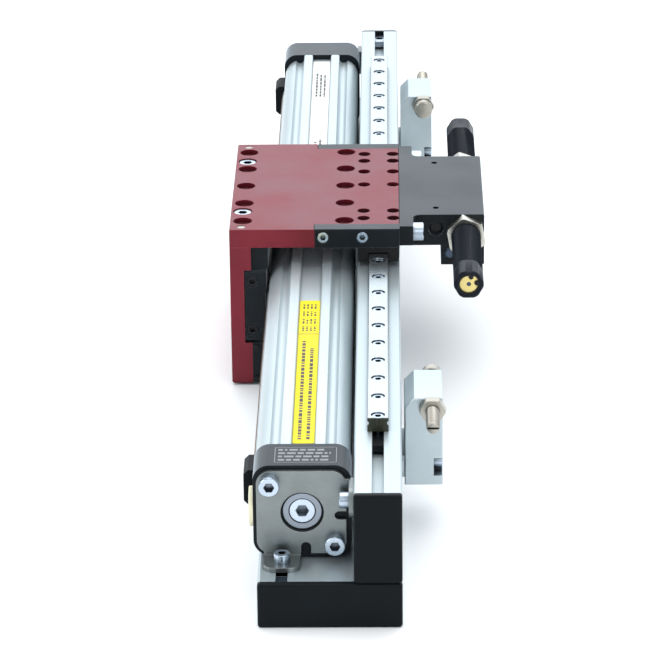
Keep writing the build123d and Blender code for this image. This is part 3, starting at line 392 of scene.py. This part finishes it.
def shock_absorbers():
    """Both shock absorber bodies with their fine thread, hexagon end and rod mouth."""
    low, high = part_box("shock_bodies")
    centre = middle_of("shock_bodies")
    rear = (high.y - low.y) / MM / 2
    flats = hexagon(SHOCK_FLATS, 6.9)
    shoulder = rear - FLATS_LENGTH
    rings = [(SHOCK_TIP + 30, ROD_MOUTH), (SHOCK_TIP, ROD_MOUTH), (SHOCK_TIP, 6.3), (SHOCK_TIP + 0.7, 6.95)]
    rings += thread_rings(SHOCK_TIP + 0.8, shoulder, SHOCK_MAJOR, 0.55, 1.0)
    rings += [(shoulder, 6.3), (shoulder + 0.1, flats), (rear - 0.6, flats), (rear, 6.1)]
    rings += [(rear, 5.0), (rear - 2.2, 5.0)]
    parts = []
    for side in (-1, 1):
        placed = [(centre.y + side * y, radius) for y, radius in rings]
        parts.append(turned_mesh((centre.x, centre.z), placed, 54))
    piece = add_mesh("shock_absorber_bodies", *joined(parts), "carriage", "shock_nitrided", smooth_angle=40)
    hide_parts("shock_bodies")


def stop_screw_bodies():
    """Both stop screws: round anvil, M6 thread and screwdriver slot in the end."""
    low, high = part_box("stop_screws")
    centre = middle_of("stop_screws")
    axis = (centre.x, centre.z)
    outer_ends = (low.y / MM, high.y / MM)
    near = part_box("stop_blocks")[0].y / MM + 2 * STOP_HALF + STOP_GAP
    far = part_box("stop_nuts")[1].y / MM - NUT_THICK
    parts = []
    for shoulder, side, end in ((near, 1, outer_ends[0]), (far, -1, outer_ends[1])):
        face = shoulder + side * ANVIL
        rings = [(face, 4.0), (face - side * 0.1, 4.3), (face - side * 0.5, 4.7)]
        rings += [(shoulder + side * 0.4, 4.7), (shoulder, 4.3), (shoulder, 2.9)]
        thread = thread_rings(min(shoulder, end) + 0.2, max(shoulder, end) - 0.2, STOP_MAJOR, 0.5, 1.0)
        rings += thread if side < 0 else thread[::-1]
        rings += [(end, 2.2)]
        parts.append(turned_mesh(axis, rings, 36))
    piece = add_mesh("stop_screw_bodies", *joined(parts), "frame", "plain_steel", smooth_angle=40)
    cut_slots(piece, axis, outer_ends)
    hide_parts("stop_screws")


def cut_slots(piece, axis, ends):
    """Screwdriver slots in the outer ends of the stop screws."""
    x, z = axis
    for end in ends:
        cutter = bpy.data.objects.new("cutter", bpy.data.meshes.new("cutter"))
        bpy.context.scene.collection.objects.link(cutter)
        work = bmesh.new()
        bmesh.ops.create_cube(work, size=1.0)
        size = Matrix.Diagonal((8 * MM, 3 * MM, 1 * MM, 1))
        place = Matrix.Translation(Vector((x, end, z)) * MM)
        bmesh.ops.transform(work, matrix=place @ size, verts=work.verts)
        work.to_mesh(cutter.data)
        work.free()
        cut = piece.modifiers.new("slot", "BOOLEAN")
        cut.operation = "DIFFERENCE"
        cut.solver = "EXACT"
        cut.object = cutter
        bpy.context.view_layer.update()
        graph = bpy.context.evaluated_depsgraph_get()
        done = bpy.data.meshes.new_from_object(piece.evaluated_get(graph))
        piece.modifiers.clear()
        piece.data = done
        bpy.data.objects.remove(cutter)


# ---- labels -----------------------------------------------------------------------------------
NEAR_LABEL_END = -96.0
FAR_LABEL_START = 84.0
INK = 0.03                          # thickness of the print


def flat_plate(x0, x1, y0, y1, z0, z1, radius):
    """Points and faces of a thin plate with round corners."""
    outline = []
    corners = ((x1 - radius, y1 - radius, 0), (x0 + radius, y1 - radius, 90),
               (x0 + radius, y0 + radius, 180), (x1 - radius, y0 + radius, 270))
    for x, y, start in corners:
        for step in range(5):
            angle = math.radians(start + 22.5 * step)
            outline.append((x + radius * math.cos(angle), y + radius * math.sin(angle)))
    count = len(outline)
    points = [(x, y, z0) for x, y in outline] + [(x, y, z1) for x, y in outline]
    faces = [tuple(range(count - 1, -1, -1)), tuple(range(count, 2 * count))]
    for step in range(count):
        after = (step + 1) % count
        faces.append((step, after, count + after, count + step))
    return points, faces


def print_dashes(draw, x0, x1, y0, y1, z, rows, longest=6.5, fill=0.5):
    """Rows of short dashes along Y that stand for lines of small print."""
    parts = []
    pitch = (x1 - x0) / rows
    for row in range(rows):
        middle = x0 + pitch * (row + 0.5)
        left = middle - pitch * fill / 2
        right = middle + pitch * fill / 2
        y = y0
        end = y1 - draw.uniform(0.0, 0.12) * (y1 - y0)
        while y < end:
            length = draw.uniform(1.2, longest)
            parts.append(flat_plate(left, right, y, min(y + length, end), z, z + INK, 0.1))
            y += length + draw.uniform(0.7, 1.2)
    return parts


def label_set():
    """Yellow label on the near half and white label on the far half, with generic print."""
    low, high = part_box("labels")
    x0, x1 = low.x / MM, high.x / MM
    z0, z1 = low.z / MM, high.z / MM
    near = (low.y / MM, NEAR_LABEL_END)
    far = (FAR_LABEL_START, high.y / MM)
    yellow = add_mesh("label_near", *flat_plate(x0, x1, *near, z0, z1, 1.0), "frame", "label_yellow")
    white = add_mesh("label_far", *flat_plate(x0, x1, *far, z0, z1, 1.0), "frame", "label_yellow",
                     "label_white")
    draw = random.Random(7)
    split = near[1] - 40.0
    parts = print_dashes(draw, x0 + 1.0, x1 - 1.0, near[0] + 4, split - 4, z1, 2, 4.0, 0.42)
    parts.append(flat_plate(x0 + 0.3, x1 - 0.3, split - 0.6, split, z1, z1 + INK, 0.1))
    for step in range(4):
        y = split + 3 + 9 * step
        parts += print_dashes(draw, x0 + 1.2, x1 - 1.2, y, y + 6, z1, 4, 3.0)
    add_mesh("label_print_near", *joined(parts), "frame", "label_yellow", "print_black")
    parts = print_dashes(draw, x0 + 2.0, x0 + 7.0, far[0] + 5, far[0] + 45, z1, 2)
    parts += print_dashes(draw, x0 + 1.5, x1 - 1.5, far[1] - 60, far[1] - 20, z1, 3)
    add_mesh("label_print_far", *joined(parts), "frame", "label_yellow", "print_black")
    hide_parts("labels")
    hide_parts("labels")


def cap_nameplate():
    """Printed frame with generic lines on top of the near cap."""
    low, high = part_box("cylinder_cap_near")
    z = high.z / MM
    x0, x1 = low.x / MM + 9, high.x / MM - 6
    y0, y1 = low.y / MM + 3.5, low.y / MM + 19
    line = 0.35
    frame_lines = ((x0, x1, y0, y0 + line), (x0, x1, y1 - line, y1),
                   (x0, x0 + line, y0, y1), (x1 - line, x1, y0, y1))
    parts = [flat_plate(*edges, z, z + INK, 0.1) for edges in frame_lines]
    draw = random.Random(3)
    rows = 4
    pitch = (y1 - y0 - 2) / rows
    for row in range(rows):
        y = y0 + 1 + pitch * (row + 0.25)
        x = x0 + 1.5
        end = x1 - draw.uniform(1.5, 8)
        while x < end:
            length = draw.uniform(1.0, 4.0)
            parts.append(flat_plate(x, min(x + length, end), y, y + pitch * 0.5, z, z + INK, 0.1))
            x += length + 0.8
    add_mesh("cap_print", *joined(parts), "frame", "cap_black", "print_white")


# ---- stage, light and camera ------------------------------------------------------------------
def make_stage():
    """Plain pale floor."""
    mesh = bpy.data.meshes.new("floor")
    size = 6.0
    corners = [(-size, -size, 0), (size, -size, 0), (size, size, 0), (-size, size, 0)]
    mesh.from_pydata(corners, [], [(0, 1, 2, 3)])
    floor = bpy.data.objects.new("floor", mesh)
    bpy.context.scene.collection.objects.link(floor)
    made = bpy.data.materials.new("floor")
    made.use_nodes = True
    shader = made.node_tree.nodes["Principled BSDF"]
    shader.inputs["Base Color"].default_value = (0.94, 0.945, 0.95, 1)
    shader.inputs["Roughness"].default_value = 0.6
    shader.inputs["Specular IOR Level"].default_value = 0.2
    mesh.materials.append(made)


def area_light(name, place, target, size, power):
    """Large rectangular lamp that faces the target."""
    data = bpy.data.lights.new(name, "AREA")
    data.shape = "RECTANGLE"
    data.size, data.size_y = size
    data.energy = power
    lamp = bpy.data.objects.new(name, data)
    bpy.context.scene.collection.objects.link(lamp)
    lamp.location = place
    lamp.rotation_mode = "QUATERNION"
    lamp.rotation_quaternion = (Vector(target) - Vector(place)).to_track_quat("-Z", "Y")


def make_lights():
    """Soft surroundings, dim near the horizon in front and bright behind, and three large lamps."""
    world = bpy.data.worlds.new("studio")
    world.use_nodes = True
    tree = world.node_tree
    direction = tree.nodes.new("ShaderNodeTexCoord")
    split = tree.nodes.new("ShaderNodeSeparateXYZ")
    tree.links.new(direction.outputs["Generated"], split.inputs["Vector"])
    height = spread(tree, split.outputs["Z"], 0.0, 1.0, 0.02, 0.32)
    behind = spread(tree, split.outputs["Y"], 0.0, 1.0, 0.25, 0.9)
    open_sky = mixed(tree, behind, (0.9, 0.93, 0.95, 1), (1.95, 2.05, 2.15, 1))
    colour = mixed(tree, height, (0.42, 0.46, 0.52, 1), open_sky)
    tree.links.new(colour, tree.nodes["Background"].inputs["Color"])
    tree.nodes["Background"].inputs["Strength"].default_value = 1.0
    bpy.context.scene.world = world
    area_light("top", (0.1, 0.25, 1.9), (0, 0, 0), (1.8, 1.8), 20)
    area_light("left", (-1.7, -0.7, 1.0), (0, -0.1, 0.03), (1.2, 1.0), 8)
    area_light("front", (0.7, -1.9, 0.9), (0, -0.1, 0.03), (1.0, 0.7), 8)


CAMERA_PLACE = (0.02573, -1.68492, 0.69642)
CAMERA_YAW = -0.9751
CAMERA_PITCH = 22.3312
CAMERA_ROLL = -0.656
CAMERA_LENS = 201.39


def make_camera():
    """Camera on the near side, looking down along the drive."""
    yaw = math.radians(CAMERA_YAW)
    pitch = math.radians(CAMERA_PITCH)
    roll = math.radians(CAMERA_ROLL)
    ahead = Vector((math.sin(yaw) * math.cos(pitch), math.cos(yaw) * math.cos(pitch), -math.sin(pitch)))
    level = Vector((math.cos(yaw), -math.sin(yaw), 0))
    upright = level.cross(ahead)
    right = level * math.cos(roll) + upright * math.sin(roll)
    top = upright * math.cos(roll) - level * math.sin(roll)
    data = bpy.data.cameras.new("camera")
    data.sensor_width = 36
    data.lens = CAMERA_LENS
    data.clip_start = 0.05
    data.clip_end = 50
    camera = bpy.data.objects.new("camera", data)
    bpy.context.scene.collection.objects.link(camera)
    turn = Matrix((right, top, -ahead)).transposed()
    camera.matrix_world = Matrix.Translation(CAMERA_PLACE) @ turn.to_4x4()
    bpy.context.scene.camera = camera


dress_cad_nodes()
dress_details()
shock_absorbers()
stop_screw_bodies()
label_set()
cap_nameplate()
make_stage()
make_lights()
make_camera()
bpy.context.scene.view_settings.view_transform = "Standard"
